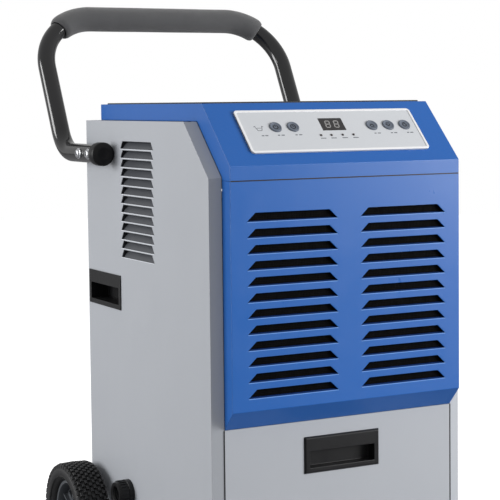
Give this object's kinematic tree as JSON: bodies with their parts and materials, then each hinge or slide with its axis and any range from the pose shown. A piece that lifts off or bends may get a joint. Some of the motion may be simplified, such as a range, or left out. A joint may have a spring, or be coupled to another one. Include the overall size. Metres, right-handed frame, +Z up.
{
  "type": "commercial dehumidifier",
  "caption": "Wheeled cabinet dehumidifier with a sloping control fascia, louvred front inlet, side outlets, slide-out water tank and a padded push handle.",
  "frame": {"origin": "on the floor, at the middle of the outline seen from above", "axes": "front faces -Y, +X to the right seen from the front, +Z up"},
  "size_m": [0.657, 0.7872, 1.0789],
  "materials": {
    "grey_paint": "satin powder coat",
    "blue_lid": "satin moulded",
    "black_moulding": "satin moulded",
    "black_gloss_paint": "gloss",
    "dark_moulding": "matt moulded",
    "bright_steel": "bright zinc",
    "galvanised_steel": "galvanised",
    "coil_aluminium": "mill finish",
    "tyre_rubber": "matt rubber",
    "foam": "matt foam",
    "tank_plastic": "translucent moulded",
    "control_plate": "satin printed plate",
    "button_plastic": "satin moulded",
    "display_window": "gloss tinted",
    "lamp_plastic": "gloss tinted",
    "float_plastic": "moulded",
    "filter_mesh": "black mesh"
  },
  "bodies": {
    "cabinet": {"air_filter": "filter_mesh", "axle_bracket_left": "galvanised_steel", "axle_bracket_right": "galvanised_steel", "axle_cap_left": "black_moulding", "axle_cap_right": "black_moulding", "base_pan": "galvanised_steel", "caster_plate_left": "bright_steel", "caster_plate_right": "bright_steel", "compressor": "black_moulding", "condenser": "coil_aluminium", "control_box": "dark_moulding", "control_plate": "control_plate", "cord_gland": "black_moulding", "display_window": "display_window", "drain_collar": "black_moulding", "drip_tray": "dark_moulding", "evaporator": "coil_aluminium", "fan_motor": "bright_steel", "fan_shroud": "galvanised_steel", "foam_grip": "foam", "front_louvre_panel": "blue_lid", "handle_bolt_left_1": "bright_steel", "handle_bolt_left_2": "bright_steel", "handle_bolt_right_1": "bright_steel", "handle_bolt_right_2": "bright_steel", "handle_cap_left": "black_moulding", "handle_cap_right": "black_moulding", "handle_tube": "black_gloss_paint", "lamp_guide": "lamp_plastic", "rear_panel": "grey_paint", "side_grip_left": "black_moulding", "side_grip_right": "black_moulding", "side_panel_left": "grey_paint", "side_panel_right": "grey_paint", "side_vent_left": "dark_moulding", "side_vent_right": "dark_moulding", "top_lid": "blue_lid", "wheel_axle": "bright_steel"},
    "tank_drawer": {"front_door": "grey_paint", "door_pull": "black_moulding", "water_tank": "tank_plastic", "float_bracket": "tank_plastic", "float_pin": "bright_steel"},
    "float": {"tank_float": "float_plastic"},
    "fan": {"fan_impeller": "dark_moulding"},
    "key_1": {"button_1": "button_plastic"},
    "key_2": {"button_2": "button_plastic"},
    "key_3": {"button_3": "button_plastic"},
    "key_4": {"button_4": "button_plastic"},
    "key_5": {"button_5": "button_plastic"},
    "wheel_left": {"tyre_left": "tyre_rubber", "wheel_hub_left": "dark_moulding"},
    "swivel_left": {"caster_fork_left": "bright_steel", "caster_pin_left": "bright_steel"},
    "roller_left": {"caster_wheel_left": "tyre_rubber"},
    "wheel_right": {"tyre_right": "tyre_rubber", "wheel_hub_right": "dark_moulding"},
    "swivel_right": {"caster_fork_right": "bright_steel", "caster_pin_right": "bright_steel"},
    "roller_right": {"caster_wheel_right": "tyre_rubber"}
  },
  "joints": [
    {"name": "key_1_press", "type": "slide", "parent": "cabinet", "child": "key_1", "axis": [0, 0.7071, -0.7071], "range_m": [0, 0.0012], "stiffness_N_per_m": 700, "springref_m": -0.0006},
    {"name": "key_2_press", "type": "slide", "parent": "cabinet", "child": "key_2", "axis": [0, 0.7071, -0.7071], "range_m": [0, 0.0012], "stiffness_N_per_m": 700, "springref_m": -0.0006},
    {"name": "key_3_press", "type": "slide", "parent": "cabinet", "child": "key_3", "axis": [0, 0.7071, -0.7071], "range_m": [0, 0.0012], "stiffness_N_per_m": 700, "springref_m": -0.0006},
    {"name": "key_4_press", "type": "slide", "parent": "cabinet", "child": "key_4", "axis": [0, 0.7071, -0.7071], "range_m": [0, 0.0012], "stiffness_N_per_m": 700, "springref_m": -0.0006},
    {"name": "key_5_press", "type": "slide", "parent": "cabinet", "child": "key_5", "axis": [0, 0.7071, -0.7071], "range_m": [0, 0.0012], "stiffness_N_per_m": 700, "springref_m": -0.0006},
    {"name": "tank_drawer_pull", "type": "slide", "parent": "cabinet", "child": "tank_drawer", "axis": [0, -1, 0], "range_m": [0, 0.26]},
    {"name": "float_swing", "type": "hinge", "parent": "tank_drawer", "child": "float", "pos_m": [0.12, -0.08364, 0.302], "axis": [-1, 0, 0], "range_deg": [0, 38]},
    {"name": "fan_spin", "type": "hinge", "parent": "cabinet", "child": "fan", "pos_m": [0, -0.22164, 0.55], "axis": [0, 1, 0], "continuous": true},
    {"name": "wheel_left_spin", "type": "hinge", "parent": "cabinet", "child": "wheel_left", "pos_m": [-0.29, 0.13286, 0.1], "axis": [1, 0, 0], "continuous": true},
    {"name": "caster_left_swivel", "type": "hinge", "parent": "cabinet", "child": "swivel_left", "pos_m": [-0.18, -0.31364, 0.1], "axis": [0, 0, 1], "continuous": true},
    {"name": "caster_left_spin", "type": "hinge", "parent": "swivel_left", "child": "roller_left", "pos_m": [-0.18, -0.28564, 0.0375], "axis": [1, 0, 0], "continuous": true},
    {"name": "wheel_right_spin", "type": "hinge", "parent": "cabinet", "child": "wheel_right", "pos_m": [0.29, 0.13286, 0.1], "axis": [1, 0, 0], "continuous": true},
    {"name": "caster_right_swivel", "type": "hinge", "parent": "cabinet", "child": "swivel_right", "pos_m": [0.18, -0.31364, 0.1], "axis": [0, 0, 1], "continuous": true},
    {"name": "caster_right_spin", "type": "hinge", "parent": "swivel_right", "child": "roller_right", "pos_m": [0.18, -0.28564, 0.0375], "axis": [1, 0, 0], "continuous": true}
  ]
}
